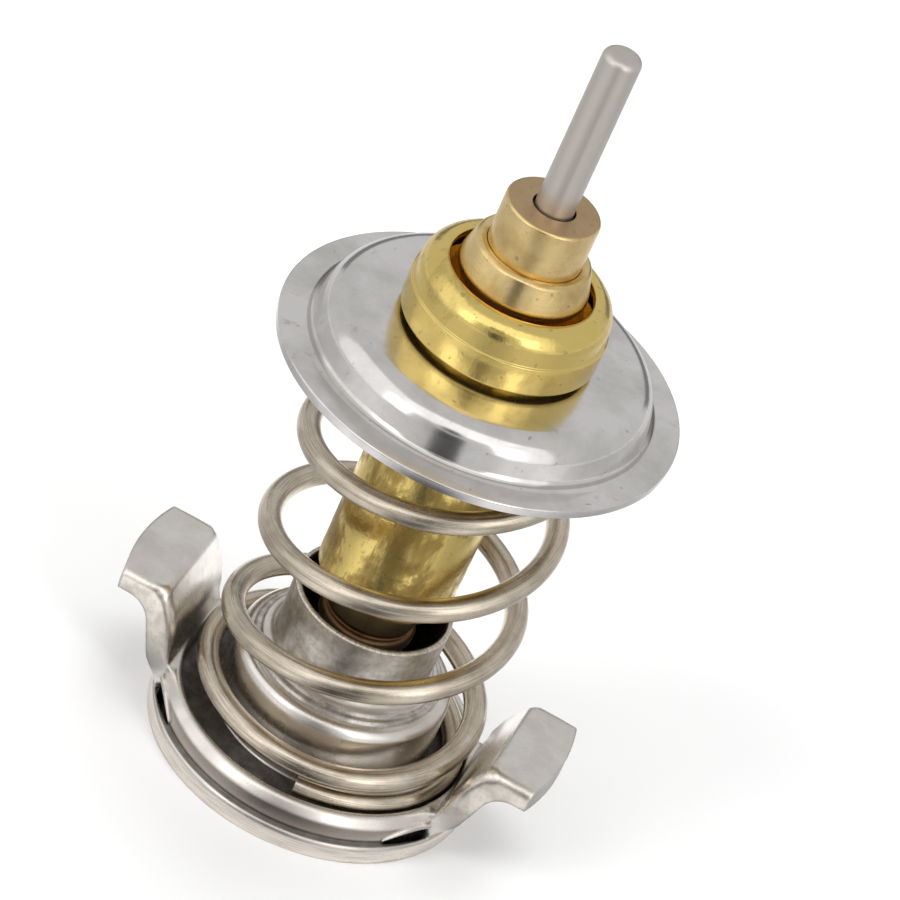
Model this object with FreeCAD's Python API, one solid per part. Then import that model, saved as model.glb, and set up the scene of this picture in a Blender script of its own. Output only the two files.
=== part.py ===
import FreeCAD, Part
import math
import os

from FreeCAD import Vector

# Engine thermostat insert, in millimetres. The origin is the centre of the rim that it stands on,
# +Z runs up its axis towards the piston's tip, and the two ears lie along X.

# Lower bracket, one stamping
sheet = 2.0                  # thickness of its sheet
rim_radius = 15.7
rim_edge_roll = 0.6          # die roll on the rim's upper edge
ridge_height = 4.6
ridge_outer_radius = 15.1
ridge_rounding = 1.6
seat_height = 3.3            # floor of the spring's channel
channel_clearance = 0.55     # spring to the channel's outer wall
shoulder_height = 11.0
shoulder_rounding = 1.5
shoulder_clearance = 0.8     # spring to the shoulder that centres it
foot_step = 0.35             # small coined step round the collar's foot
foot_step_width = 0.6
foot_width = 0.75            # from the collar's wall to that step
foot_rounding = 1.4
collar_height = 18.0
collar_wall = 0.75
collar_clearance = 0.5       # cup to the collar's bore
collar_flare = 0.3           # the collar is a little wider at its top
ear_width = 12.5
ear_sheet = 2.2              # the ears are drawn a little thicker than the rim
ear_reach = 21.8             # round blank edge at the ear's tip
ear_height = 11.9
ear_lean_deg = 19.3
ear_root = 0.1               # from the channel's wall out to the ear's inner face
ear_root_rounding = 1.1
ear_bend = 0.9               # inner and outer roundings of the bend at the ear's top
ear_heel_rounding = 2.6
ear_side_roll = 1.3          # die roll along the ear's sides
notch_length_deg = 16.0      # relief slot beside each ear
notch_width = 0.85
notch_land = 0.55            # metal left between slot and rim edge
notch_height = 2.7

# Main spring
wire = 2.2
coil_mean_radius = 12.1
top_coil_inset = 0.3         # the upper end coil is smaller by this
lap_bulge = 0.4              # the coil that climbs over the foot springs out by this
spring_length = 44.9
end_gap = 0.5                # gap between the two end coils
spring_start_deg = 277.0     # square-cut lower end of the wire
shift_low = 0.4              # the spring sits this far to one side, at its foot
shift_high = 0.2             # and at its top
shift_deg = 7.0
spring_play = 0.03           # seat to wire
flat_turns = 0.33            # of an end coil, flat on its seat
lap_turns = 0.80             # of an end coil, where it lies a wire further on
# Share of the free rise at each quarter turn, one turn after the lower end onwards
free_shares = [0.0, 0.048, 0.079, 0.145, 0.254, 0.362, 0.398, 0.427, 0.519, 0.639, 0.694, 0.715, 0.793, 0.925,
               0.98, 1.0]

# Valve disc
disc_radius = 18.5
disc_sheet = 0.9
dome_rise = 3.8
dome_radius = 15.7           # where the dome's wall meets the flange
dome_slope = 1.1             # inward lean of that wall
dome_rounding = 2.5
dome_foot_rounding = 1.0
disc_play = 0.02             # disc to the cup's body
disc_hole_rounding = 0.08

# Wax cup
body_radius = 6.4
body_wall = 0.8
body_length = 28.9           # below the disc
body_end_rounding = 0.9
stem_radius = 4.25
stem_length = 5.2
bead_radius = 4.55
bead_height = 1.3
bead_rounding = 0.55
groove_depth = 0.3
groove_height = 0.6
body_floor = 1.2             # metal between the wax and the shoulder of the stem
head_radius = 9.05
head_edge_height = 3.4       # cylinder of the head, up to its edge line
head_edge_step = 0.18
head_floor = 1.5
head_wall = 1.25
head_height = 6.9
mouth_radius = 6.55
roll_wall = 0.95             # metal of the rolled mouth

# Cap round the guide's foot
cap_flange_height = 1.5
cap_flange_clearance = 0.15
cap_neck_radius = 5.55
cap_bulge_radius = 5.95
cap_lip_radius = 5.25
cap_height = 7.9             # lip above the head's floor
cap_play = 0.04

# Piston guide
guide_radius = 4.28
guide_reach = 4.6            # above the cap's lip
guide_edge_rounding = 0.35
guide_foot_radius = 5.2
guide_foot_height = 1.3
recess_radius = 2.2
recess_depth = 1.5
running_clearance = 0.04     # pin in the guide's bore

# Rubber parts and their washer
boot_flange = 0.9
boot_flange_rounding = 0.3
boot_wall = 1.1
boot_end_gap = 2.0           # boot's closed end above the cup's floor
wiper_height = 0.7
wiper_clearance = 0.06
washer_radius = 3.2
washer_height = 0.6
fill_play = 0.02             # wax to what holds it

# Piston pin
pin_radius = 1.75
pin_reach = 16.2             # tip above the guide
pin_tip_rounding = 0.75
pin_taper_length = 14.0
pin_end_radius = 0.9

# Heights that follow
dome_underside = seat_height + spring_length
dome_top = dome_underside + disc_sheet
flange_top = dome_top - dome_rise
body_end = dome_top - body_length
stem_end = body_end - stem_length
head_floor_top = dome_top + head_floor
head_top = dome_top + head_height
boot_flange_top = head_floor_top + boot_flange
cap_flange_top = boot_flange_top + cap_flange_height
cap_top = head_floor_top + cap_height
guide_top = cap_top + guide_reach
pin_top = guide_top + pin_reach
head_bore = head_radius - head_wall
cup_bore = body_radius - body_wall
cup_floor = body_end + body_floor
boot_end = cup_floor + boot_end_gap
pin_end = boot_end + boot_wall
spring_inner = coil_mean_radius - wire / 2
spring_outer = coil_mean_radius + wire / 2
shoulder_radius = spring_inner - shoulder_clearance
channel_radius = spring_outer + channel_clearance
collar_bore = body_radius + collar_clearance
collar_radius = collar_bore + collar_wall
free_turns = (len(free_shares) - 1) / 4
spring_turns = free_turns + 2
lap_rise = wire + end_gap

os.makedirs("parts", exist_ok=True)


def rounded_outline(corners):
    """Closed face in the X-Z plane from corners (radius, height) or (radius, height, rounding)."""
    points = [Vector(c[0], 0, c[1]) for c in corners]
    roundings = [c[2] if len(c) > 2 else 0.0 for c in corners]
    count = len(points)
    halves, reaches = [], []
    for i, corner in enumerate(points):
        half = (points[i - 1] - corner).getAngle(points[(i + 1) % count] - corner) / 2
        straight = abs(half - math.pi / 2) < 1e-6
        halves.append(half)
        reaches.append(0.0 if straight else roundings[i] / math.tan(half))
    limits = list(reaches)
    for i in range(count):
        after = (i + 1) % count
        wanted = reaches[i] + reaches[after]
        room = 0.98 * (points[after] - points[i]).Length
        if wanted > room:
            limits[i] = min(limits[i], reaches[i] * room / wanted)
            limits[after] = min(limits[after], reaches[after] * room / wanted)
    starts, ends, arcs = [], [], []
    for i, corner in enumerate(points):
        reach = limits[i]
        if reach <= 0:
            starts.append(corner)
            ends.append(corner)
            arcs.append(None)
            continue
        back = (points[i - 1] - corner).normalize()
        ahead = (points[(i + 1) % count] - corner).normalize()
        radius = reach * math.tan(halves[i])
        middle = corner + (back + ahead).normalize() * (radius / math.sin(halves[i]) - radius)
        starts.append(corner + back * reach)
        ends.append(corner + ahead * reach)
        arcs.append(Part.Arc(starts[i], middle, ends[i]).toShape())
    edges = []
    for i in range(count):
        if arcs[i]:
            edges.append(arcs[i])
        following = starts[(i + 1) % count]
        if ends[i].distanceToPoint(following) > 1e-7:
            edges.append(Part.LineSegment(ends[i], following).toShape())
    return Part.Face(Part.Wire(edges))


def turned(corners):
    """Solid of revolution about Z."""
    return rounded_outline(corners).revolve(Vector(0, 0, 0), Vector(0, 0, 1), 360)


def save(shape, node):
    """One node's solids, checked and written as a STEP file."""
    if not shape.isValid() or not shape.Solids:
        raise ValueError(node + " is not a sound solid")
    solid = shape.Solids[0] if len(shape.Solids) == 1 else shape
    solid.exportStep("parts/" + node + ".step")
    print(node, len(shape.Solids), "solid,", round(shape.Volume, 1), "mm3")


def bracket_body():
    """Round part of the bracket: collar, stepped foot, shoulder, spring channel, ridge and rim."""
    ring_radius = collar_radius + foot_width
    under = seat_height - sheet
    return turned([
        (collar_bore, collar_height, 0.15),
        (collar_radius, collar_height, 0.15),
        (collar_radius - collar_flare, shoulder_height + foot_step, foot_rounding),
        (ring_radius, shoulder_height + foot_step, 0.12),
        (ring_radius, shoulder_height, 0.08),
        (ring_radius + foot_step_width, shoulder_height, 0.1),
        (ring_radius + foot_step_width, shoulder_height - foot_step, 0.08),
        (shoulder_radius, shoulder_height - foot_step, shoulder_rounding),
        (shoulder_radius, seat_height, 0.25),
        (channel_radius, seat_height, 0.3),
        (channel_radius, ridge_height, 0.3),
        (ridge_outer_radius, ridge_height, ridge_rounding),
        (ridge_outer_radius, sheet, 0.15),
        (rim_radius, sheet, rim_edge_roll),
        (rim_radius, 0, 0.1),
        (ridge_outer_radius - sheet, 0, 0.3),
        (ridge_outer_radius - sheet, under, 0.2),
        (shoulder_radius - sheet, under, sheet * 0.8),
        (shoulder_radius - sheet, shoulder_height - sheet, 0.3),
        (collar_bore, shoulder_height - sheet, foot_rounding),
    ])


def ear():
    """Ear that rises out of the ridge, leans outwards and is bent flat at its top, along +X."""
    lean = math.radians(ear_lean_deg)
    slope = math.tan(lean)
    inner_foot = channel_radius + ear_root
    outer_foot = inner_foot + ear_sheet / math.cos(lean)
    root_height = seat_height - sheet / 2
    under = ear_height - ear_sheet

    def inner_x(z):
        return inner_foot + (z - ridge_height) * slope

    def outer_x(z):
        return outer_foot + (z - ridge_height) * slope

    profile = rounded_outline([
        (channel_radius, ridge_height),
        (inner_foot, ridge_height, ear_root_rounding),
        (inner_x(ear_height), ear_height, ear_bend),
        (ear_reach + 1, ear_height),
        (ear_reach + 1, under),
        (outer_x(under), under, ear_heel_rounding),
        (outer_x(root_height), root_height),
        (channel_radius, root_height),
    ])
    blank = profile.extrude(Vector(0, ear_width, 0))
    blank.translate(Vector(0, -ear_width / 2, 0))
    rolled = []
    for edge in blank.Edges:
        middle = edge.valueAt((edge.FirstParameter + edge.LastParameter) / 2)
        if any(abs(abs(v.Y) - ear_width / 2) > 1e-6 for v in edge.Vertexes) or abs(middle.y) < ear_width / 4:
            continue
        on_tab = middle.z > ear_height - ear_bend and middle.x > inner_x(ear_height) - ear_bend
        on_strip = middle.z > ridge_height + ear_root_rounding and abs(middle.x - inner_x(middle.z)) < sheet / 6
        if on_tab or on_strip:
            rolled.append(edge)
    blank = blank.makeFillet(ear_side_roll, rolled)
    tip = Part.makeCylinder(ear_reach, 3 * ear_height, Vector(0, 0, -ear_height))
    return blank.common(tip)


def relief_slot(start_deg):
    """Curved slot through the flange beside an ear, from start_deg onwards."""
    outer = rim_radius - notch_land
    inner = outer - notch_width
    slot = rounded_outline([(inner, -1), (outer, -1), (outer, notch_height), (inner, notch_height)])
    slot = slot.revolve(Vector(0, 0, 0), Vector(0, 0, 1), notch_length_deg)
    slot.rotate(Vector(0, 0, 0), Vector(0, 0, 1), start_deg)
    return slot


def lower_bracket():
    body = bracket_body()
    side_deg = math.degrees(math.asin(ear_width / 2 / (rim_radius - notch_land)))
    for turn in (0, 180):
        one = ear()
        one.rotate(Vector(0, 0, 0), Vector(0, 0, 1), turn)
        body = body.fuse(one)
    for turn in (0, 180):
        body = body.cut(relief_slot(turn + side_deg))
        body = body.cut(relief_slot(turn - side_deg - notch_length_deg))
    return body.removeSplitter()


def smooth(share):
    """Step from 0 to 1 with level ends."""
    share = min(max(share, 0.0), 1.0)
    return share * share * (3 - 2 * share)


def end_coil(turns):
    """Rise over an end coil, from its cut end: flat, then up by a wire, then flat."""
    return lap_rise * smooth((turns - flat_turns) / (lap_turns - flat_turns))


def free_coils(turns):
    """Rise over the free coils as a share, smooth through the quarter-turn table."""
    place = min(max(turns * 4, 0.0), len(free_shares) - 1.0)
    i = min(int(place), len(free_shares) - 2)

    def slope(k):
        if k < 1 or k > len(free_shares) - 2:
            return 0.0
        before = free_shares[k] - free_shares[k - 1]
        after = free_shares[k + 1] - free_shares[k]
        return 2 * before * after / (before + after)

    u = place - i
    rise = free_shares[i + 1] - free_shares[i]
    curve = 3 * rise - 2 * slope(i) - slope(i + 1)
    return free_shares[i] + u * (slope(i) + u * (curve + u * (slope(i) + slope(i + 1) - 2 * rise)))


def coil_height(turns):
    """Height of the wire's centre above its lowest point, against the turns from the lower end."""
    free_rise = spring_length - wire - 2 * spring_play - 2 * lap_rise
    lower = end_coil(turns)
    upper = lap_rise - end_coil(spring_turns - turns)
    return lower + upper + free_rise * free_coils(turns - 1)


def coil_radius(turns):
    """Radius of the wire's centre: smaller in the top coil, larger where the wire climbs over its foot."""
    top = 1 - smooth((spring_turns - turns - flat_turns) / 1.2)
    climb = smooth((turns - 0.25) / 0.5) * smooth((1.75 - turns) / 0.5)
    return coil_mean_radius - top_coil_inset * top + lap_bulge * climb


def main_spring():
    """Closed ends with square-cut wire, and free coils that rise faster on one side."""
    steps_per_turn = 20
    steps = round(spring_turns * steps_per_turn)
    aside = Vector(math.cos(math.radians(shift_deg)), math.sin(math.radians(shift_deg)), 0)
    points = []
    for i in range(steps + 1):
        share = i / steps
        turns = spring_turns * share
        angle = math.radians(spring_start_deg) + 2 * math.pi * turns
        radius = coil_radius(turns)
        height = seat_height + spring_play + wire / 2 + coil_height(turns)
        centre = aside * (shift_low + (shift_high - shift_low) * share)
        points.append(centre + Vector(radius * math.cos(angle), radius * math.sin(angle), height))
    path = Part.BSplineCurve()
    path.interpolate(points)
    route = Part.Wire(path.toShape())
    start = points[0]
    heading = path.tangent(path.FirstParameter)[0]
    section = Part.Wire(Part.Circle(start, heading, wire / 2).toShape())
    pipe = Part.BRepOffsetAPI.MakePipeShell(route)
    pipe.setFrenetMode(True)
    pipe.add(section)
    pipe.build()
    pipe.makeSolid()
    return pipe.shape()


def valve_disc():
    """Disc with a flat raised dome and a thin flat flange."""
    hole = body_radius + disc_play
    wall_top = dome_radius - dome_slope
    return turned([
        (hole, dome_top, disc_hole_rounding),
        (wall_top, dome_top, dome_rounding),
        (dome_radius, flange_top, dome_foot_rounding),
        (disc_radius, flange_top, 0.15),
        (disc_radius, flange_top - disc_sheet, 0.1),
        (dome_radius - disc_sheet, flange_top - disc_sheet, dome_foot_rounding + disc_sheet),
        (wall_top - disc_sheet, dome_underside, dome_rounding - disc_sheet),
        (hole, dome_underside, disc_hole_rounding),
    ])


def wax_cup():
    """Drawn brass cup: closed stem with a bead, long body, and a head with its mouth rolled in."""
    edge = dome_top + head_edge_height
    crown_radius = mouth_radius + 0.55
    return turned([
        (0, stem_end),
        (bead_radius, stem_end, bead_rounding),
        (bead_radius, stem_end + bead_height, bead_rounding),
        (stem_radius - groove_depth, stem_end + bead_height, 0.1),
        (stem_radius - groove_depth, stem_end + bead_height + groove_height, 0.1),
        (stem_radius, stem_end + bead_height + groove_height, 0.1),
        (stem_radius, body_end, 0.4),
        (body_radius, body_end, body_end_rounding),
        (body_radius, dome_top, 0.05),
        (head_radius, dome_top, 0.4),
        (head_radius, edge, 0.12),
        (head_radius - head_edge_step, edge + 0.1, 0.1),
        (head_radius - 0.35, head_top - 0.9, 2.2),
        (crown_radius, head_top, 0.9),
        (mouth_radius, head_top - 0.35, 0.25),
        (mouth_radius + 0.1, head_top - roll_wall, 0.2),
        (head_bore, cap_flange_top + 0.25, 0.9),
        (head_bore, head_floor_top, 0.2),
        (cup_bore, head_floor_top, 0.3),
        (cup_bore, cup_floor, 0.8),
        (0, cup_floor),
    ])


def guide_cap():
    """Drawn cap over the guide's foot: clamped flange, bulging side and a rounded lip."""
    bore = guide_radius + cap_play
    flange = head_bore - cap_flange_clearance
    foot_room = boot_flange_top + guide_foot_height + cap_play
    bulge = cap_flange_top + 0.5 * (cap_top - cap_flange_top)
    return turned([
        (guide_foot_radius + cap_play, boot_flange_top),
        (flange, boot_flange_top, 0.15),
        (flange, cap_flange_top, 0.2),
        (cap_neck_radius, cap_flange_top, 0.5),
        (cap_bulge_radius, bulge, 1.6),
        (cap_lip_radius, cap_top - 0.25, 0.45),
        (cap_lip_radius - 0.35, cap_top, 0.2),
        (bore, cap_top - 0.15, 0.05),
        (bore, foot_room),
        (guide_foot_radius + cap_play, foot_room),
    ])


def piston_guide():
    """Turned guide with a recess round the bore's mouth and a foot that the cap holds down."""
    bore = pin_radius + running_clearance
    return turned([
        (bore, boot_flange_top),
        (guide_foot_radius, boot_flange_top, 0.1),
        (guide_foot_radius, boot_flange_top + guide_foot_height, 0.1),
        (guide_radius, boot_flange_top + guide_foot_height, 0.1),
        (guide_radius, guide_top, guide_edge_rounding),
        (recess_radius, guide_top, 0.15),
        (recess_radius, guide_top - recess_depth),
        (bore, guide_top - recess_depth),
    ])


def wiper_ring():
    """Rubber lip at the bottom of the guide's recess."""
    inner = pin_radius + wiper_clearance
    outer = recess_radius - fill_play
    low = guide_top - recess_depth
    return turned([
        (inner, low), (outer, low), (outer, low + wiper_height, 0.05),
        (inner + 0.1, low + wiper_height, 0.08),
    ])


def backup_washer():
    """Hard washer let into the boot's flange, under the guide's bore."""
    inner = pin_radius + running_clearance
    return turned([
        (inner, boot_flange_top - washer_height), (washer_radius, boot_flange_top - washer_height, 0.1),
        (washer_radius, boot_flange_top), (inner, boot_flange_top),
    ])


def pin_outline(play):
    """Radius and height pairs down the pin's tapered end, grown by a clearance."""
    return [
        (pin_radius + play, pin_end + pin_taper_length),
        (pin_end_radius + play, pin_end - play),
    ]


def rubber_boot():
    """Closed sleeve round the pin's tapered end, with a flange clamped in the head."""
    taper_top, taper_end = pin_outline(wiper_clearance)
    outer_top = pin_radius + wiper_clearance + boot_wall
    outer_end = pin_end_radius + wiper_clearance + boot_wall
    return turned([
        (0, boot_end),
        (outer_end, boot_end, 0.8),
        (outer_top, taper_top[1]),
        (outer_top, head_floor_top, 0.5),
        (head_bore - cap_flange_clearance, head_floor_top, boot_flange_rounding),
        (head_bore - cap_flange_clearance, boot_flange_top),
        (washer_radius + fill_play, boot_flange_top),
        (washer_radius + fill_play, boot_flange_top - washer_height),
        (taper_top[0], boot_flange_top - washer_height),
        taper_top,
        (taper_end[0], taper_end[1], 0.3),
        (0, taper_end[1]),
    ])


def wax_charge():
    """Wax between the boot and the cup."""
    boot_top = pin_radius + wiper_clearance + boot_wall + fill_play
    boot_low = pin_end_radius + wiper_clearance + boot_wall + fill_play
    outer = cup_bore - fill_play
    return turned([
        (0, cup_floor + fill_play),
        (outer, cup_floor + fill_play, 0.8),
        (outer, head_floor_top - 0.3),
        (boot_top + 0.5, head_floor_top - 0.3),
        (boot_top, head_floor_top - 1.2),
        (boot_top, pin_end + pin_taper_length),
        (boot_low, boot_end - fill_play),
        (0, boot_end - fill_play),
    ])


def piston_pin():
    """Ground pin with a rounded tip and a tapered lower end."""
    return turned([
        (0, pin_end),
        (pin_end_radius, pin_end, 0.3),
        (pin_radius, pin_end + pin_taper_length),
        (pin_radius, pin_top, pin_tip_rounding),
        (0, pin_top),
    ])


save(lower_bracket(), "lower_bracket")
save(main_spring(), "main_spring")
save(valve_disc(), "valve_disc")
save(wax_cup(), "wax_cup")
save(wax_charge(), "wax_charge")
save(rubber_boot(), "rubber_boot")
save(backup_washer(), "backup_washer")
save(guide_cap(), "guide_cap")
save(piston_guide(), "piston_guide")
save(wiper_ring(), "wiper_ring")
save(piston_pin(), "piston_pin")
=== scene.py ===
# %% [markdown]
# An engine thermostat insert, dressed piece by piece.
#
# The object is small: about 79 mm from the rim it stands on to the tip of its pin. It has a stamped
# steel bracket with two ears, a helical spring, a domed steel disc, a brass wax cup, and a brass
# guide with a ground pin. Metal shows its surroundings more than its own colour, so two things
# matter: smooth, exact forms, and a calm set of lights and cards for them to mirror.

# %% The frame that everything is fitted to
import math

import bpy
from mathutils import Matrix, Vector


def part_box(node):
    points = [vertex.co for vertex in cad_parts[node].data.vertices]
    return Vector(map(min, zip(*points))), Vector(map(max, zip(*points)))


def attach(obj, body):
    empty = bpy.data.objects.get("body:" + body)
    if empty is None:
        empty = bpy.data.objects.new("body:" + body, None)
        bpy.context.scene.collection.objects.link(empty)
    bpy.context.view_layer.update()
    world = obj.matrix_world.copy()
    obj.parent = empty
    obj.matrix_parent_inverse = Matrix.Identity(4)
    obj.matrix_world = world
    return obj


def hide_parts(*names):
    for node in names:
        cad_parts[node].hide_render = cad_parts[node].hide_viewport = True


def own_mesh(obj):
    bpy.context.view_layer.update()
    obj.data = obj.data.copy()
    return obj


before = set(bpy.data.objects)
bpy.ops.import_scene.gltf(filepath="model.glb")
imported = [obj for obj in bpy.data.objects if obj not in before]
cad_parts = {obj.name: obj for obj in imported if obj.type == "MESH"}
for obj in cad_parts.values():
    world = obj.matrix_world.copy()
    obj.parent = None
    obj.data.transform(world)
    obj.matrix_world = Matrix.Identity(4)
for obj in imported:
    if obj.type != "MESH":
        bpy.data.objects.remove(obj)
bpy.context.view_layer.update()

# %% [markdown]
# Sizes are written in millimetres, as they would be on a drawing, and turned into metres in one
# place. Heights come from the frame's own boxes where a piece sits on another one.

# %% Millimetres, and the heights the pieces share
MM = 0.001


def low(node):
    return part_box(node)[0].z / MM


def high(node):
    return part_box(node)[1].z / MM


disc_top = high("valve_disc")
disc_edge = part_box("valve_disc")[1].x / MM
cup_top = high("wax_cup")
cup_end = low("wax_cup")
cap_top = high("guide_cap")
guide_top = high("piston_guide")
pin_tip = high("piston_pin")
spring_seat = 3.3
print("disc top", round(disc_top, 2), "cup", round(cup_end, 2), round(cup_top, 2),
      "guide", round(guide_top, 2))

# %% [markdown]
# Every turned or drawn piece is first an outline: corners given by radius and height, some of them
# rounded. The rounding is worked out as a real arc, tangent to both sides, because a polished edge
# shows a wrong curve at once as a kink in its highlight.

# %% An outline with rounded corners
arc_step, least_arc_steps, most_of_side, no_reach = math.radians(7), 3, 0.98, 1e-4


def outline(corners, closed=False):
    """Points (radius, height) along an outline whose corners are (radius, height, rounding)."""
    spots = [Vector(c[:2]) for c in corners]
    count = len(spots)
    halves, reaches = [], []
    for i, corner in enumerate(corners):
        rounding = corner[2] if len(corner) > 2 and (closed or 0 < i < count - 1) else 0.0
        half = (spots[i - 1] - spots[i]).angle(spots[(i + 1) % count] - spots[i]) / 2
        halves.append(half)
        reaches.append(0.0 if abs(half - math.pi / 2) < 1e-5 else rounding / math.tan(half))
    limits = list(reaches)
    for i in range(count if closed else count - 1):
        after = (i + 1) % count
        wanted, room = reaches[i] + reaches[after], most_of_side * (spots[after] - spots[i]).length
        if wanted > room:
            limits[i] = min(limits[i], reaches[i] * room / wanted)
            limits[after] = min(limits[after], reaches[after] * room / wanted)
    points = []
    for i, here in enumerate(spots):
        if limits[i] < no_reach:
            points.append(here)
            continue
        back = (spots[i - 1] - here).normalized()
        ahead = (spots[(i + 1) % count] - here).normalized()
        radius = limits[i] * math.tan(halves[i])
        centre = here + (back + ahead).normalized() * (radius / math.sin(halves[i]))
        first, last = here + back * limits[i] - centre, here + ahead * limits[i] - centre
        turn = math.atan2(first.x * last.y - first.y * last.x, first.dot(last))
        steps = max(least_arc_steps, round(abs(turn) / arc_step))
        for k in range(steps + 1):
            points.append(centre + Matrix.Rotation(turn * k / steps, 2) @ first)
    return points


# %% [markdown]
# On a lathe, a profile is held against the axis and the work turns. Blender's spin does the same:
# one vertex is extruded along the outline, and the line is spun through a full turn. Spinning keeps
# every ring exactly round, which a mirror finish needs.

# %% Turning a piece
def select_only(piece):
    bpy.ops.object.select_all(action="DESELECT")
    piece.select_set(True)
    bpy.context.view_layer.objects.active = piece


def draw_line(name, places):
    """A new object with one chain of vertices through the places, given in metres. Leaves edit mode on."""
    bpy.ops.object.select_all(action="DESELECT")
    bpy.ops.mesh.primitive_plane_add(size=0.001)
    piece = bpy.context.object
    piece.name = name
    bpy.ops.object.mode_set(mode="EDIT")
    bpy.ops.mesh.select_mode(type="VERT")
    bpy.ops.mesh.select_all(action="SELECT")
    bpy.ops.mesh.merge(type="CENTER")
    bpy.ops.transform.translate(value=places[0])
    for before, after in zip(places, places[1:]):
        bpy.ops.mesh.extrude_vertices_move(TRANSFORM_OT_translate={"value": after - before})
    return piece


def turned(name, corners, steps=180, closed=False):
    """A solid of revolution about Z. A closed outline ends where it starts."""
    flat = outline(corners, closed)
    if closed:
        flat.append(flat[0])
    piece = draw_line(name, [Vector((p.x * MM, 0, p.y * MM)) for p in flat])
    bpy.ops.mesh.select_all(action="SELECT")
    bpy.ops.mesh.spin(steps=steps, angle=math.tau, center=(0, 0, 0), axis=(0, 0, 1))
    bpy.ops.mesh.select_all(action="SELECT")
    bpy.ops.mesh.remove_doubles(threshold=2e-6)
    bpy.ops.mesh.normals_make_consistent(inside=False)
    bpy.ops.object.mode_set(mode="OBJECT")
    select_only(piece)
    bpy.ops.object.shade_smooth_by_angle(angle=math.radians(35))
    print(name, len(piece.data.polygons), "faces")
    return piece


def settle(piece, body, slot, *nodes):
    """Puts a finished piece on its body, in place of the nodes it stands for; its slot is not used."""
    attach(piece, body)
    if nodes:
        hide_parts(*nodes)


# %% [markdown]
# The valve disc closes the coolant's way. It is one thin steel stamping: a flat dome with rolled
# shoulders, and a flange that seats in the housing. It could be a cylinder with insets, or an outline
# that is turned. Turning was chosen, because one outline holds every rolled edge at its true radius.
# Both faces are drawn, because the underside is seen between the coils.

# %% Valve disc
dome_radius, dome_slope, dome_rise, disc_sheet, disc_hole = 15.7, 1.1, 3.8, 0.9, 6.42
# dressed pieces stay this far inside the solid's outermost faces and clear of their neighbours
skin_gap = 0.02
flange_top, dome_wall, flange_r = disc_top - dome_rise, dome_radius - dome_slope, disc_edge - skin_gap
valve_disc = turned("valve_disc_skin", [
    (disc_hole, disc_top), (dome_wall, disc_top, 2.5), (dome_radius, flange_top, 1.0),
    (flange_r, flange_top, 0.2), (flange_r, flange_top - disc_sheet, 0.12),
    (dome_radius - disc_sheet, flange_top - disc_sheet, 1.9),
    (dome_wall - disc_sheet, disc_top - disc_sheet, 1.6), (disc_hole, disc_top - disc_sheet),
], steps=240, closed=True)
settle(valve_disc, "element", "disc_steel", "valve_disc")

# %% [markdown]
# The wax cup is one drawn brass piece. A narrow stem with a bead guides it at the bottom, the long
# body holds the wax, and its mouth is rolled in over the guide's cap to clamp it. The faint line
# round the head is where the draw ended and the roll began. Stem, body and head could be separate
# cylinders, but the metal runs through without a joint, so one outline goes down the outside and up
# the inside.

# %% Wax cup
body_r, stem_r, head_r, cup_bore, head_bore = 6.4, 4.25, 9.05, 5.6, 7.8
bead_r, groove_r, mouth_top_r, mouth_lip_r, mouth_r = 4.55, 3.95, 7.1, 6.55, 6.65
stem_end, wax_floor, head_floor = cup_end + 5.2, cup_end + 6.4, disc_top + 1.5
head_foot, head_base, undercut_r, parting = disc_top + skin_gap, disc_top + 0.48, head_r - 1.5, disc_top + 3.4
cup = turned("wax_cup_skin", [
    (0, cup_end), (bead_r, cup_end, 0.55), (bead_r, cup_end + 1.45, 0.7), (groove_r, cup_end + 1.55, 0.3),
    (groove_r, cup_end + 2.0, 0.15), (stem_r, cup_end + 2.1, 0.2), (stem_r, stem_end, 0.4),
    (body_r, stem_end, 0.9), (body_r, head_foot), (undercut_r, head_foot), (undercut_r, head_base),
    (head_r - skin_gap, head_base, 0.4), (head_r - skin_gap, parting, 0.12),
    (head_r - 0.2, parting + 0.1, 0.1), (head_r - 0.38, cup_top - 0.9, 2.2),
    (mouth_top_r, cup_top, 0.9), (mouth_lip_r, cup_top - 0.35, 0.25),
    (mouth_r, cup_top - 0.95, 0.2), (head_bore, cap_top - 5.25, 0.7), (head_bore, head_floor, 0.2),
    (cup_bore, head_floor, 0.3), (cup_bore, wax_floor, 0.8), (0, wax_floor),
], steps=200)
settle(cup, "element", "cup_brass", "wax_cup")

# %% [markdown]
# The cap is a small drawn brass bell. Its flange is clamped in the head, its side bulges a little,
# and its lip holds the guide. A cone with a bevel would come close. The bulge was chosen, because it
# gives the flank the curved highlight that a cone can't have.

# %% Cap round the guide
guide_r, guide_foot_r, cap_play = 4.28, 5.2, 0.04
flange_end_r, neck_r, bulge_r, lip_shoulder_r, cap_lip_r = 7.65, 5.6, 5.95, 5.25, 4.9
cap_foot, cap_flange_top, guide_foot_top = cap_top - 7.0, cap_top - 5.5, cap_top - 5.7
cap = turned("guide_cap_skin", [
    (guide_foot_r + cap_play, cap_foot), (flange_end_r, cap_foot, 0.15), (flange_end_r, cap_flange_top, 0.2),
    (neck_r, cap_flange_top, 1.9), (bulge_r, cap_top - 2.75, 1.6), (lip_shoulder_r, cap_top - 0.25, 0.45),
    (cap_lip_r, cap_top, 0.2), (guide_r + cap_play, cap_top - 0.15, 0.05),
    (guide_r + cap_play, guide_foot_top + cap_play), (guide_foot_r + cap_play, guide_foot_top + cap_play),
], steps=160, closed=True)
settle(cap, "element", "cap_brass", "guide_cap")

# %% [markdown]
# The guide is turned from bar. Its flat top has tool marks in rings. A thin lip is rolled in over the
# recess round the pin, where a rubber ring wipes the pin clean, so that only a fine dark line shows.
# A dark stripe in the material would look the same from above, but a real gap also holds its shadow.

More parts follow.
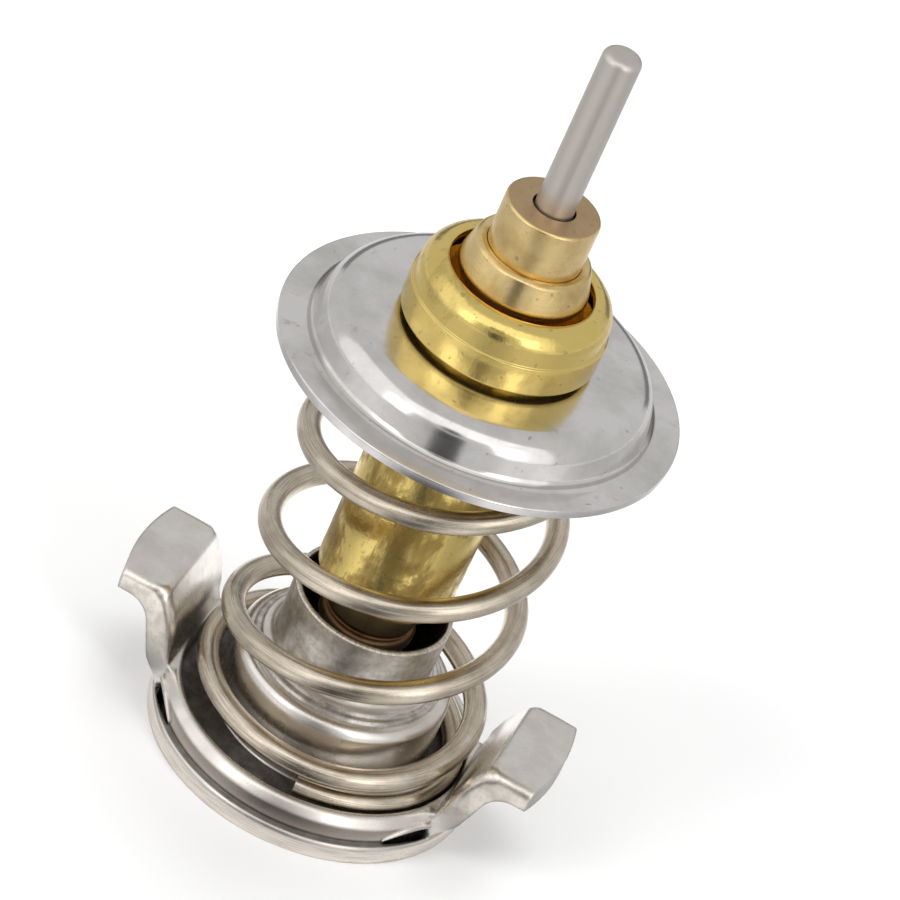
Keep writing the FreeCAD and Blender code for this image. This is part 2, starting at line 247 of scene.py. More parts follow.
# %% Piston guide and its wiper
recess_r, lip_r, bore_r = 2.2, 1.96, 1.79
recess_roof, recess_floor = guide_top - 0.3, guide_top - 1.5
guide = turned("piston_guide_skin", [
    (bore_r, cap_foot), (guide_foot_r, cap_foot, 0.1), (guide_foot_r, guide_foot_top, 0.1),
    (guide_r, guide_foot_top, 0.1), (guide_r, guide_top, 0.35), (lip_r, guide_top, 0.06),
    (lip_r, recess_roof), (recess_r, recess_roof), (recess_r, recess_floor), (bore_r, recess_floor),
], steps=160, closed=True)
settle(guide, "element", "guide_brass", "piston_guide")
wiper_foot_r, wiper_tip_r, wiper_r = 1.81, 1.9, recess_r - 0.03
wiper_foot, wiper_top = recess_floor + 0.02, guide_top - 0.8
wiper = turned("wiper_ring_skin", [
    (wiper_foot_r, wiper_foot), (wiper_r, wiper_foot),
    (wiper_r, wiper_top, 0.06), (wiper_tip_r, wiper_top, 0.08),
], steps=96, closed=True)
settle(wiper, "element", "wiper_rubber", "wiper_ring")

# %% [markdown]
# The pin is a ground rod, tapered inside the boot, with its end broken to a soft edge round a small
# flat. A cylinder with a bevel could stand for it. It is turned too, so that the taper, the rounding
# and the flat come from one outline.

# %% Piston pin
pin_r, pin_end_r, tip_flat_r, pin_taper, pin_foot = 1.75, 0.9, 0.62, 14.0, low("piston_pin")
pin = turned("piston_pin_skin", [
    (0, pin_foot), (pin_end_r, pin_foot, 0.3), (pin_r, pin_foot + pin_taper),
    (pin_r, pin_tip, 0.75), (tip_flat_r, pin_tip, 0.2), (0, pin_tip - skin_gap),
], steps=120)
settle(pin, "piston", "pin_steel", "piston_pin")

# %% [markdown]
# The main spring is the piece that takes most care. It is one wire, cut square, with closed ends that
# lie flat and free coils that rise unevenly: faster on one side. A curve with a round bevel
# follows the same table of heights as the solid model, and becomes a mesh with a UV map that runs
# along the wire, so that drawn lines can follow it.

# %% The wire's path
wire, coil_mean, top_coil_inset, lap_bulge, spring_length, end_gap = 2.2, 12.1, 0.3, 0.4, 44.9, 0.5
start_deg, shift_low, shift_high, shift_deg, spring_play = 277.0, 0.4, 0.2, 7.0, 0.03
flat_turns, lap_turns = 0.33, 0.80
# the share of the free rise that is reached at each quarter of a turn, as the photo shows it
free_shares = [0.0, 0.048, 0.079, 0.145, 0.254, 0.362, 0.398, 0.427, 0.519, 0.639, 0.694, 0.715, 0.793, 0.925,
               0.98, 1.0]
spring_turns = (len(free_shares) - 1) / 4 + 2


def smooth(share):
    """0 to 1 with a soft start and end."""
    share = min(max(share, 0.0), 1.0)
    return share * share * (3 - 2 * share)


def end_coil(turns):
    """Rise of an end coil: flat at first, then a lap over its own start."""
    return (wire + end_gap) * smooth((turns - flat_turns) / (lap_turns - flat_turns))


def free_coils(turns):
    """Share of the free rise after so many turns, on a smooth curve that never falls."""
    place = min(max(turns * 4, 0.0), len(free_shares) - 1.0)
    i = min(int(place), len(free_shares) - 2)

    def slope(k):
        if k < 1 or k > len(free_shares) - 2:
            return 0.0
        before, after = free_shares[k] - free_shares[k - 1], free_shares[k + 1] - free_shares[k]
        return 2 * before * after / (before + after)

    u, rise = place - i, free_shares[i + 1] - free_shares[i]
    bend = 3 * rise - 2 * slope(i) - slope(i + 1)
    return free_shares[i] + u * (slope(i) + u * (bend + u * (slope(i) + slope(i + 1) - 2 * rise)))


def coil_radius(turns):
    """The top coil is drawn in a little, and the first free coil bulges over the lap."""
    top = 1 - smooth((spring_turns - turns - flat_turns) / 1.2)
    climb = smooth((turns - 0.25) / 0.5) * smooth((1.75 - turns) / 0.5)
    return coil_mean - top_coil_inset * top + lap_bulge * climb


def wire_centre(turns):
    """Centre of the wire, in millimetres, so many turns from its lower end."""
    free_rise = spring_length - wire - 2 * spring_play - 2 * (wire + end_gap)
    height = end_coil(turns) + (wire + end_gap) - end_coil(spring_turns - turns)
    height += free_rise * free_coils(turns - 1)
    radius = coil_radius(turns)
    angle = math.radians(start_deg) + math.tau * turns
    aside = shift_low + (shift_high - shift_low) * turns / spring_turns
    shift = math.radians(shift_deg)
    return Vector((aside * math.cos(shift) + radius * math.cos(angle),
                   aside * math.sin(shift) + radius * math.sin(angle),
                   spring_seat + spring_play + wire / 2 + height))


# %% [markdown]
# A screw modifier or a spin would give an even coil. A curve can follow any table of heights, and its
# round bevel keeps the wire's section square to its path, so the curve was chosen. Its ends are
# filled, because the wire was cut square, and it becomes a mesh at once.

# %% The spring as a mesh
rings_per_turn, ring_points, wire_skin_gap = 96, 28, 0.01
rings = round(spring_turns * rings_per_turn)
path_line = bpy.data.curves.new("main_spring_path", "CURVE")
path_line.dimensions = "3D"
run = path_line.splines.new("POLY")
run.points.add(rings)
for i in range(rings + 1):
    run.points[i].co = (*(wire_centre(spring_turns * i / rings) * MM), 1)
path_line.bevel_depth = (wire / 2 - wire_skin_gap) * MM
path_line.bevel_resolution = ring_points // 2 - 2
path_line.use_fill_caps = True
path_line.twist_mode = "Z_UP"
spring = bpy.data.objects.new("main_spring_skin", path_line)
bpy.context.collection.objects.link(spring)
select_only(spring)
bpy.ops.object.convert(target="MESH")
spring = bpy.context.object
around = len(spring.data.vertices) // (rings + 1)
print("spring", len(spring.data.vertices), "vertices,", around, "round the wire")

# %% [markdown]
# The map's u runs along the wire in centimetres and its v once round it. Unwrapping would have to
# guess the seam. Here each vertex knows its ring and its place on it, so the map is worked out.

# %% A map along the wire
along = spring.data.uv_layers.get("along_wire") or spring.data.uv_layers.new(name="along_wire")
spring.data.uv_layers.active = along
turn_length = math.tau * coil_mean / 10
for face in spring.data.polygons:
    spots = [spring.data.loops[k].vertex_index for k in face.loop_indices]
    wraps = any(s % around == 0 for s in spots) and any(s % around == around - 1 for s in spots)
    for k, spot in zip(face.loop_indices, spots):
        ring, place = divmod(spot, around)
        v = 1.0 if wraps and place == 0 else place / around
        along.data[k].uv = (ring / rings_per_turn * turn_length, v)
bpy.ops.object.mode_set(mode="EDIT")
bpy.ops.mesh.select_all(action="SELECT")
bpy.ops.mesh.normals_make_consistent(inside=False)
bpy.ops.object.mode_set(mode="OBJECT")
select_only(spring)
bpy.ops.object.shade_smooth_by_angle(angle=math.radians(40))
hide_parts("main_spring")
print("wire mapped,", round(turn_length * spring_turns, 1), "cm long")

# %% [markdown]
# The bracket is a single stamping, 2 mm thick, and the richest form of the object. From the middle
# outwards: a collar with a sheared edge, a small coined step, a round shoulder that centres the
# spring, the channel the spring sits in, a high ridge, and a flat rim. Two ears rise out of
# the ridge. The round part is turned; the ears are then joined to it. Pressing the whole form out of
# a flat grid would be truer to the press, but would leave the long mirror-like ridge uneven.

# %% Bracket, the round part
sheet, seat, shoulder_top, collar_top, ridge_top, rim_r = 2.0, spring_seat, 11.0, 18.0, 4.6, 15.7
channel_r, shoulder_r, ridge_r, collar_r, collar_bore = 13.75, 10.2, 15.1, 7.65, 6.9
step_r, step_width, step_rise, brim_thinning, wall_thinning = 8.4, 0.6, 0.35, 0.2, 0.3
crest_r, crest_fall = 14.45, 0.9
bracket = turned("lower_bracket_skin", [
    (collar_bore, collar_top, 0.06), (collar_r - brim_thinning, collar_top, 0.14),
    (collar_r - wall_thinning, shoulder_top + step_rise, 1.4),
    (step_r, shoulder_top + step_rise, 0.12), (step_r, shoulder_top, 0.08),
    (step_r + step_width, shoulder_top, 0.1), (step_r + step_width, shoulder_top - step_rise, 0.08),
    (shoulder_r, shoulder_top - step_rise, 1.5), (shoulder_r, seat, 0.25), (channel_r, seat, 0.3),
    (channel_r, ridge_top, 0.55), (crest_r, ridge_top, 0.9), (ridge_r, ridge_top - crest_fall, 0.35),
    (ridge_r, sheet, 0.15), (rim_r - skin_gap, sheet, 0.6), (rim_r - skin_gap, 0, 0.1),
    (ridge_r - sheet, 0, 0.3), (ridge_r - sheet, seat - sheet, 0.2), (shoulder_r - sheet, seat - sheet, 1.6),
    (shoulder_r - sheet, shoulder_top - sheet, 0.3), (collar_bore, shoulder_top - sheet, 1.4),
], steps=240, closed=True)

# %% [markdown]
# An ear is lofted: a row of cross-sections along the strip, bridged into a skin, as a smith would
# judge it station by station. That allows what a plain extrusion can't give: side edges rolled over
# far more than they are broken, because a blanking punch drags the sheet's surface down with it, and
# a bend that is thicker than the sheet. The inner face swells a little where the strip was pressed.
# At the root the roll fades out, and the outer face takes up the curve of the rim that it grew from.
# The tip is trimmed to the round blank's edge.

# %% Lofting through cross-sections
def loft(name, loops):
    """A closed skin through cross-sections of equal count, given in metres."""
    piece = draw_line(name, loops[0])
    bpy.ops.mesh.select_all(action="SELECT")
    bpy.ops.mesh.edge_face_add()
    bpy.ops.object.mode_set(mode="OBJECT")
    for before, after in zip(loops, loops[1:]):
        bpy.ops.object.mode_set(mode="EDIT")
        bpy.ops.mesh.extrude_region_move(TRANSFORM_OT_translate={"value": (0, 0, 0)})
        bpy.ops.object.mode_set(mode="OBJECT")
        fresh = [v for v in piece.data.vertices if v.select]
        order = {min(range(len(before)), key=lambda k: (before[k] - v.co).length): v for v in fresh}
        for k, vertex in order.items():
            vertex.co = after[k]
    bpy.ops.object.mode_set(mode="EDIT")
    bpy.ops.mesh.select_all(action="SELECT")
    bpy.ops.mesh.normals_make_consistent(inside=False)
    bpy.ops.object.mode_set(mode="OBJECT")
    print(name, len(piece.data.polygons), "faces")
    return piece


# %% [markdown]
# The strip's two faces are drawn first, from root over bend to tip, each as 28 places. A place on the
# inner face and its partner on the outer one make a station, so the bend can be thicker than the
# sheet without any step.

# %% Stations along an ear
ear_width, ear_sheet, ear_reach, ear_top, ear_lean = 12.5, 2.2, 21.78, 11.9, math.radians(19.3)
ear_roll, root_low, root_fade, ear_belly = 1.1, 0.9, 2.6, 0.45
inner_foot = channel_r + 0.1
outer_foot = inner_foot + ear_sheet / math.cos(ear_lean)


def on_line(foot, height):
    """Radius of a leaning face at a height."""
    return foot + (height - ridge_top) * math.tan(ear_lean)


def along(points, count):
    """Resamples a chain of points to so many evenly spaced ones."""
    lengths = [0.0]
    for a, b in zip(points, points[1:]):
        lengths.append(lengths[-1] + (b - a).length)
    found = []
    for i in range(count):
        want = lengths[-1] * i / (count - 1)
        k = max(j for j in range(len(points) - 1) if lengths[j] <= want + 1e-9)
        found.append(points[k].lerp(points[k + 1], (want - lengths[k]) / (lengths[k + 1] - lengths[k])))
    return found


def strip_side(foot, root_x, height, rounding):
    """One side of the strip, from its root over the bend to its tip: three runs, each evenly divided."""
    bend_x = on_line(foot, height)
    chain = outline([(root_x, root_low), (bend_x, height, rounding), (ear_reach + 1, height)])
    upright, bend, tip = along([chain[0], chain[1]], 14), along(chain[1:-1], 10), along(chain[-2:], 6)
    return upright + bend[1:] + tip[1:]


top_skin = strip_side(inner_foot, on_line(inner_foot, root_low), ear_top, 1.0)
under_skin = strip_side(outer_foot, on_line(outer_foot, root_low), ear_top - ear_sheet, 2.6)
print("ear stations", len(top_skin), len(under_skin))

# %% [markdown]
# Each cross-section has the same points: a sharp break on the outer face, a straight sheared side,
# and a quarter circle for the roll on the inner face, widest at the bend and almost gone at the root.

# %% An ear's cross-sections
edge_break, corner_break, roll_points, sheared_share, rim_share = 0.25, 0.12, 8, 0.82, 0.75
bend_station, bend_stations, bend_roll, least_side = 18, 6, 0.3, 0.4


def ear_section(station):
    """Closed loop of points across the strip at a station, in metres."""
    top, under = top_skin[station], under_skin[station]
    thick = (under - top).length
    bend = max(0.0, 1 - abs(station - bend_station) / bend_stations)
    fade = smooth((top.y - ridge_top + 0.2) / root_fade)
    roll = min(edge_break + (ear_roll - edge_break) * fade + bend_roll * bend, thick - least_side)
    half = ear_width / 2
    rooted = rim_share * smooth((ridge_top + 1.6 - top.y) / 3.6)
    belly = ear_belly * smooth((top.y - ridge_top - 0.6) / 2.2) * smooth((ear_top - 0.4 - top.y) / 2.4)
    side = [(half, thick - corner_break), (half, thick * sheared_share)]
    for k in range(roll_points):
        turn = math.radians(90 * k / (roll_points - 1))
        side.append((half - roll * (1 - math.cos(turn)), roll * (1 - math.sin(turn))))
    outer_face = [(-half + corner_break, thick), (0, thick), (half - corner_break, thick)]
    inner_face = [(half / 2, 0), (0, 0), (-half / 2, 0)]
    loop = outer_face + side + inner_face + [(-y, d) for y, d in reversed(side)]
    found = []
    for y, depth in loop:
        spot = top.lerp(under, depth / thick)
        sagitta = rim_r - math.sqrt(rim_r ** 2 - y ** 2)
        inwards = sagitta * rooted * depth / thick + belly * (1 - depth / thick)
        found.append(Vector((spot.x - inwards, y, spot.y)) * MM)
    return found


# %% [markdown]
# The ridge's crest runs on across the foot of the ear as a narrow ledge, level with the crest, and
# slopes away past the ear's sides. Without it the straight ear and the round ridge would leave a
# groove that no press makes.

# %% The ledge at an ear's foot
ledge_r, ledge_end_r, ledge_floor, ledge_fall, ledge_deg, ledge_stations = 14.9, 14.7, 2.3, 1.2, 32, 33


def ledge_section(degrees):
    """Five corners of the ledge at a turn angle, in metres."""
    angle = math.radians(degrees)
    aside = abs(ledge_r * math.sin(angle))
    fall = smooth((aside - ear_width / 2 + 0.4) / 2.4)
    retreat = smooth((aside - ear_width / 2 + 0.9) / 1.3)
    height = ridge_top - 0.01 - ledge_fall * fall
    inside = channel_r + 0.12
    outside = (inner_foot + 0.6) / math.cos(angle) * (1 - retreat) + ledge_end_r * retreat
    middle = (inside + outside) / 2
    ring = [(inside, ledge_floor), (outside, ledge_floor),
            (outside, height), (middle, height), (inside, height)]
    return [Vector((r * math.cos(angle), r * math.sin(angle), z)) * MM for r, z in ring]


# %% [markdown]
# Welding or bridging the ears' loops to the ridge by hand would need matching vertices. A boolean
# finds the true line where strip and ring meet, so ledge and ear are joined to the ring with it. The
# tip is trimmed first: what lies inside a cylinder of the blank's radius stays.

# %% Joining ears and ring
def cut_with(piece, tool, operation):
    """Boolean of one object with another, which is then deleted."""
    select_only(piece)
    change = piece.modifiers.new("join", "BOOLEAN")
    change.object = tool
    change.operation = operation
    change.solver = "EXACT"
    bpy.ops.object.modifier_apply(modifier=change.name)
    bpy.data.objects.remove(tool)


def turn_to(piece, degrees):
    """Turns a piece's mesh about the axis."""
    select_only(piece)
    bpy.ops.object.mode_set(mode="EDIT")
    bpy.ops.mesh.select_all(action="SELECT")
    bpy.ops.transform.rotate(value=math.radians(degrees), orient_axis="Z", center_override=(0, 0, 0))
    bpy.ops.object.mode_set(mode="OBJECT")


cutter_height = 60
for turn in (0, 180):
    ear = loft(f"ear_{turn}", [ear_section(k) for k in range(len(top_skin))])
    bpy.ops.mesh.primitive_cylinder_add(vertices=360, radius=ear_reach * MM, depth=cutter_height * MM)
    cut_with(ear, bpy.context.object, "INTERSECT")
    angles = [ledge_deg * (2 * k / (ledge_stations - 1) - 1) for k in range(ledge_stations)]
    ledge = loft(f"ledge_{turn}", [ledge_section(angle) for angle in angles])
    for piece in (ledge, ear):
        turn_to(piece, turn)
        cut_with(bracket, piece, "UNION")
print("bracket with ears", len(bracket.data.polygons), "faces")

# %% [markdown]
# Beside each ear the blank has a relief slot, so that the ear could be bent up without tearing the
# rim. It is widest at the ear and runs out to a point, under an arched edge on which the punch left
# a raised lip. A plain box would cut too square a hole, so cutter and lip are lofted through sections
# that change from the ear to the point.

# %% Relief slots and their lips
slot_inner, slot_outer, slot_point, slot_deg, slot_top, slot_arch = 14.5, 15.46, 15.12, 19.0, 2.3, 1.0
point_half, below_rim, slot_steps = 0.05, -1.0, 12
lip_size, lip_rise, lip_steps, lip_points = 0.36, 0.16, 16, 10
ear_side_r = 15.15
side_deg = math.degrees(math.asin(ear_width / 2 / ear_side_r))


def slot_roof(share):
    """Height of the arched edge, a share of the slot's length away from the ear."""
    return slot_top + slot_arch * math.sin(math.pi * (0.2 + 0.8 * share))


def slot_section(start, way, share):
    """Four corners of the slot's cut, a share of its length away from the ear."""
    angle = math.radians(start + way * slot_deg * share)
    narrow = share ** 1.5
    inner = slot_inner + (slot_point - point_half - slot_inner) * narrow
    outer = slot_outer + (slot_point + point_half - slot_outer) * narrow
    top = slot_roof(share)
    return [Vector((r * math.cos(angle), r * math.sin(angle), z)) * MM
            for r, z in ((inner, below_rim), (outer, below_rim), (outer, top), (inner, top))]


def lip_section(start, way, share):
    """A small round bead on the ridge's wall, arched over the slot."""
    angle = math.radians(start + way * (slot_deg + 0.5) * share)
    radius = ridge_r + 0.04 - 0.06 * math.sin(math.pi * share)
    height = slot_roof(share) + lip_rise
    size = lip_size * (0.3 + 0.7 * math.sin(math.pi * (0.2 + 0.75 * share)))
    spots = []
    for k in range(lip_points):
        round_turn = math.tau * k / lip_points
        r, z = radius + size * math.cos(round_turn), height + size * math.sin(round_turn)
        spots.append(Vector((r * math.cos(angle), r * math.sin(angle), z)) * MM)
    return spots


for turn in (0, 180):
    for way in (1, -1):
        start = turn + way * side_deg
        lip = loft("slot_lip", [lip_section(start, way, k / lip_steps) for k in range(lip_steps + 1)])
        cut_with(bracket, lip, "UNION")
        tool = loft("slot_tool", [slot_section(start, way, k / slot_steps) for k in range(slot_steps + 1)])
        cut_with(bracket, tool, "DIFFERENCE")
select_only(bracket)
bpy.ops.object.shade_smooth_by_angle(angle=math.radians(30))
settle(bracket, "bracket", "bracket_steel", "lower_bracket")
print("bracket with slots", len(bracket.data.polygons), "faces")

# %% [markdown]
# Now the finishes. Each is a small node tree: a metal base, then what the maker's process and use
# left on it. A painted picture would need a map on every piece; nodes follow the solid's own radius,
# height and turn, so stains and tool marks land where the work or the water left them. Sizes of
# patterns are real ones in millimetres, and colours are written as on a paint chart.

# %% A material bench
def paint(code):
    """The linear colour of an sRGB code such as "#D2B48C"."""
    levels = [int(code[k:k + 2], 16) / 255 for k in (1, 3, 5)]
    return tuple(v / 12.92 if v <= 0.04045 else ((v + 0.055) / 1.055) ** 2.4 for v in levels)


def every(size):
    """The scale of a pattern that changes about once in so many millimetres."""
    return 1 / (size * MM)


def fill_ramp(bar, stops):
    """Puts grey levels at positions, such as (0.4, 0.0), (0.6, 1.0), on a ramp's bar."""
    while len(bar) > 1:
        bar.remove(bar[0])
    for i, (position, tone) in enumerate(stops):
        stop = bar[0] if i == 0 else bar.new(position)
        stop.position = position
        stop.color = (tone, tone, tone, 1)


# %% [markdown]
# One function adds any node. Its plain values and links fill the node's inputs in their order, a
# capital name stands for the input of that name, and a small one for a choice on the node itself.
# The other helpers only repeat it: a place, a mask, coats of colour, layers of relief.

# %% Adding nodes
class Bench:
    """One material and the nodes that make it."""

    def __init__(self, name, **settings):
        self.material = bpy.data.materials.new(name)
        self.material.use_nodes = True
        self.tree = self.material.node_tree
        self.shader = next(n for n in self.tree.nodes if n.type == "BSDF_PRINCIPLED")
        self.place = self.add("TexCoord").outputs["Object"]
        self.to_shader(**settings)

    def feed(self, socket, value):
        """Joins a socket to a node or to another socket, or writes a number or colour on it."""
        if isinstance(value, bpy.types.Node):
            value = next(output for output in value.outputs if output.enabled)
        if isinstance(value, bpy.types.NodeSocket):
            self.tree.links.new(value, socket)
        else:
            socket.default_value = (*value, 1) if socket.type == "RGBA" else value

    def add(self, kind, *values, stops=(), **settings):
        """Adds a node of a kind, with its values, links and settings."""
        node = self.tree.nodes.new("ShaderNode" + kind)
        for name in filter(str.islower, settings):
            setattr(node, name, settings[name])
        for socket, value in zip([s for s in node.inputs if s.enabled], values):
            self.feed(socket, value)
        for name in (n for n in settings if not n.islower()):
            self.feed(node.inputs[name.replace("_", " ")], settings[name])
        if stops:
            fill_ramp(node.color_ramp.elements, stops)
        return node

    def around_axis(self):
        """Radius, turn angle and height of the point, in metres and radians."""
        x, y, z = self.add("SeparateXYZ", self.place).outputs
        square = self.add("Math", x, x, operation="MULTIPLY")
        square = self.add("Math", y, y, square, operation="MULTIPLY_ADD")
        return self.add("Math", square, operation="SQRT"), self.add("Math", y, x, operation="ARCTAN2"), z

    def spread(self, **parts):
        """A pattern's place: a value and its scale for each of X, Y and Z that it needs."""
        scaled = {axis: self.add("Math", *part, operation="MULTIPLY") for axis, part in parts.items()}
        return self.add("CombineXYZ", **scaled)

    def between(self, value, low_edge, high_edge, soft):
        """1 between two edges and 0 outside, with soft changes, in millimetres. One edge may be None."""
        masks = [self.add("MapRange", value, (edge - soft) * MM, (edge + soft) * MM, *ends,
                          interpolation_type="SMOOTHSTEP")
                 for edge, ends in ((low_edge, (0.0, 1.0)), (high_edge, (1.0, 0.0))) if edge is not None]
        return masks[0] if len(masks) == 1 else self.add("Math", *masks, operation="MULTIPLY")

    def coats(self, colour, *layers):
        """Colours laid over a first one: where each goes, how much of it stays, and its colour."""
        for where, share, coat in layers:
            share_there = self.add("Math", where, share, operation="MULTIPLY")
            colour = self.add("Mix", share_there, colour, coat, data_type="RGBA")
        return colour

    def relief(self, *layers, ground=None):
        """Bumps laid over each other: a pattern, its strength, and its depth in millimetres."""
        for pattern, strength, depth in layers:
            under = {"Normal": ground} if ground else {}
            ground = self.add("Bump", Height=pattern, Strength=strength, Distance=depth * MM, **under)
        return ground

    def to_shader(self, **values):
        for name, value in values.items():
            self.feed(self.shader.inputs[name.replace("_", " ")], value)

    def give(self, *pieces):
        for piece in pieces:
            piece.data.materials.clear()
            piece.data.materials.append(self.material)
        print(self.material.name, "has", len(self.tree.nodes), "nodes, on", [piece.name for piece in pieces])


# %% [markdown]
# Brass keeps its warm colour in every reflection. The drawn cup has lengthwise draw marks, brown
# blotches of tarnish on the tube below the disc, and small dark specks. Its stem, down in the collar,
# is painted a duller, darker tan as painted shade, its bead a paler tan, and the groove over the bead
# dark brown.

# %% Drawn brass of the cup
brass = Bench("drawn brass", Metallic=1.0, Roughness=0.2)
add = brass.add
radius, turn, height = brass.around_axis()
# real draw marks lie under 0.05 mm apart, too fine to show: drawn 0.53 mm apart and 10 mm long
streak_place = brass.spread(X=(turn, body_r / 0.5333), Y=(radius, every(2.5)), Z=(height, every(10.0)))
streaks = add("TexNoise", streak_place, Scale=1.0, Detail=4.0, Roughness=0.6)
blotches = add("TexNoise", add("Mapping", brass.place, Scale=(1, 1, 0.7)),
               Scale=every(4.348), Detail=5.0, Roughness=0.62, Distortion=0.5)
specks = add("TexNoise", brass.place, Scale=every(0.6667), Detail=2.0, Roughness=0.55)
specks = add("ValToRGB", specks, stops=[(0.66, 0.0), (0.72, 1.0)])
tints = add("TexNoise", brass.place, Scale=every(1.6667), Detail=3.0, Roughness=0.55)

# %% Where the cup is stained
tube = brass.between(height, None, disc_top - 1, 0.5)
# painted shade: the stem down in the collar gets a duller, darker coat
shaded_stem = brass.between(height, None, cup_end + 5.0, 0.7)
bead = brass.between(height, None, cup_end + 1.2, 0.25)
# the groove over the bead is painted dark brown, unevenly
groove = brass.between(height, cup_end + 1.2, cup_end + 2.1, 0.25)
blotched = add("ValToRGB", blotches, stops=[(0.35, 1.0), (0.65, 0.6)])
groove = add("Math", groove, blotched, operation="MULTIPLY")
stained = add("Math", tube, 0.085, -0.01, operation="MULTIPLY_ADD")
stained = add("Math", blotches, 0.82, stained, operation="MULTIPLY_ADD")
stained = add("Math", streaks, 0.18, stained, operation="MULTIPLY_ADD")
tarnish = add("ValToRGB", stained, stops=[(0.535, 0.0), (0.60, 0.7), (0.70, 1.0)])
tarnish = add("Math", tarnish, add("Math", tube, 0.6, 0.4, operation="MULTIPLY_ADD"), operation="MULTIPLY")
dulled = add("Math", streaks, 0.2, add("Math", tarnish, shaded_stem, operation="ADD"), operation="MULTIPLY_ADD")

# %% The cup's colour, gloss and relief
orange_peel = add("TexNoise", brass.place, Scale=every(3.0303), Detail=2.0, Roughness=0.55)
dents = add("TexNoise", brass.place, Scale=every(1.1111), Detail=4.0, Roughness=0.6)
hairlines = add("TexNoise", streak_place, Scale=5.5, Detail=3.0, Roughness=0.55)
brass.to_shader(
    Base_Color=brass.coats(
        paint("#EDD482"), (tints, 1.0, paint("#E5CA79")), (tarnish, 1.0, paint("#9B8048")),
        (specks, 0.35, paint("#594530")), (shaded_stem, 0.8, paint("#B39A78")), (bead, 0.75, paint("#F2DDB0")),
        (groove, 1.0, paint("#6E4A30"))),
    Roughness=add("ValToRGB", dulled, stops=[(0.0, 0.15), (1.0, 0.46)]),
    Normal=brass.relief((orange_peel, 0.18, 0.18), (dents, 0.30, 0.10), (hairlines, 0.12, 0.06)),
)
brass.give(cup)

# %% [markdown]
# Cap and guide are of a softer, pinker brass. Low on the cap's flank an orange tint is painted, a
# painted reflection of the brass cup round it, and the guide's flat end is matt from facing.

# %% Brass of the cap and the guide
soft_brass = Bench("turned brass", Metallic=1.0, Roughness=0.25)
add = soft_brass.add
radius, turn, height = soft_brass.around_axis()
# a facing cut leaves rings about 0.05 mm apart, too fine to show: drawn 0.21 mm apart
rings_place = soft_brass.spread(X=(radius, every(0.20833)), Z=(height, every(0.20833)))
marks = add("TexNoise", rings_place, Scale=1.0, Detail=2.0, Roughness=0.55)
wear = add("TexNoise", soft_brass.place, Scale=every(3.125), Detail=4.0, Roughness=0.6)
pits = add("TexNoise", soft_brass.place, Scale=every(0.7692), Detail=2.0, Roughness=0.55)
pits = add("ValToRGB", pits, stops=[(0.67, 0.0), (0.75, 0.45)])
worn = add("ValToRGB", wear, stops=[(0.45, 0.0), (0.7, 1.0)])
faced = soft_brass.between(height, guide_top - 0.06, None, 0.03)
# painted reflection: an orange tint low on the cap's flank, for the brass cup mirrored in it
painted_cup_reflection = soft_brass.between(height, None, cap_top - 2.6, 1.5)
painted_cup_reflection = add("Math", painted_cup_reflection, add("ValToRGB", wear, stops=[(0.35, 0.4), (0.6, 1.0)]), operation="MULTIPLY")
dulled = add("ValToRGB", wear, stops=[(0.3, 0.2), (0.8, 0.36)])
soft_brass.to_shader(
    Base_Color=soft_brass.coats(
        paint("#ECD195"), (worn, 1.0, paint("#CBAD73")), (painted_cup_reflection, 1.0, paint("#EFC779")),
        (faced, 0.85, paint("#BCA07C")), (pits, 1.0, paint("#896C45"))),
    Roughness=add("Math", faced, 0.12, dulled, operation="MULTIPLY_ADD"),
    Normal=soft_brass.relief((wear, 0.2, 0.1), (marks, 0.15, 0.03)),
)
soft_brass.give(cap, guide)

# %% [markdown]
# Steel comes in four finishes here. The disc is a polished stamping: almost a mirror, with a thin
# haze from handling, fine rings on its flange where it was turned, and painted shade in the crease
# round the dome.

# %% Polished steel of the disc
disc_steel = Bench("polished stamped steel", Metallic=1.0, Roughness=0.2)
add = disc_steel.add
radius, turn, height = disc_steel.around_axis()
haze = add("TexNoise", disc_steel.place, Scale=every(6.25), Detail=5.0, Roughness=0.6)
smudge = add("TexNoise", disc_steel.place, Scale=every(2.381), Detail=5.0, Roughness=0.7)
smudge = add("ValToRGB", smudge, stops=[(0.62, 0.0), (0.74, 1.0)])
nicks = add("TexNoise", disc_steel.place, Scale=every(0.9091), Detail=2.0, Roughness=0.55)
nicks = add("ValToRGB", nicks, stops=[(0.70, 0.0), (0.74, 1.0)])
# turned rings 0.2 mm apart, about four times as coarse as real ones, which would not show
rings_place = disc_steel.spread(X=(radius, every(0.2)), Y=(turn, dome_radius / 10.467))
turned_rings = add("TexNoise", rings_place, Scale=1.0, Detail=2.0, Roughness=0.55)
on_flange = disc_steel.between(radius, dome_radius + 0.3, None, 0.3)
turned_rings = add("Math", turned_rings, on_flange, operation="MULTIPLY")
# painted shade: a darker ring in the crease at the dome's foot
shaded_crease = disc_steel.between(radius, dome_radius - 0.02, dome_radius + 0.26, 0.06)
hazy = add("ValToRGB", haze, stops=[(0.38, 0.0), (0.62, 1.0)])
dulled = add("ValToRGB", haze, stops=[(0.3, 0.12), (0.7, 0.21)])
marred = add("Math", smudge, nicks, operation="MAXIMUM")
disc_steel.to_shader(
    Base_Color=disc_steel.coats(
        paint("#EAE7E5"), (hazy, 1.0, paint("#D4D1CE")), (marred, 0.5, paint("#A2978E")),
        (shaded_crease, 0.45, paint("#867C73"))),
    Roughness=add("Math", smudge, 0.1, dulled, operation="MULTIPLY_ADD"),
    Normal=disc_steel.relief((haze, 0.10, 0.2), (turned_rings, 0.12, 0.03)),
)
disc_steel.give(valve_disc)

# %% [markdown]
# The pin was ground between wheels and then handled. That leaves it even and a little matt, with
# faint lengthwise lines and a cloudy bloom.

# %% Ground steel of the pin
pin_steel = Bench("ground steel", Metallic=1.0, Roughness=0.3)
add = pin_steel.add
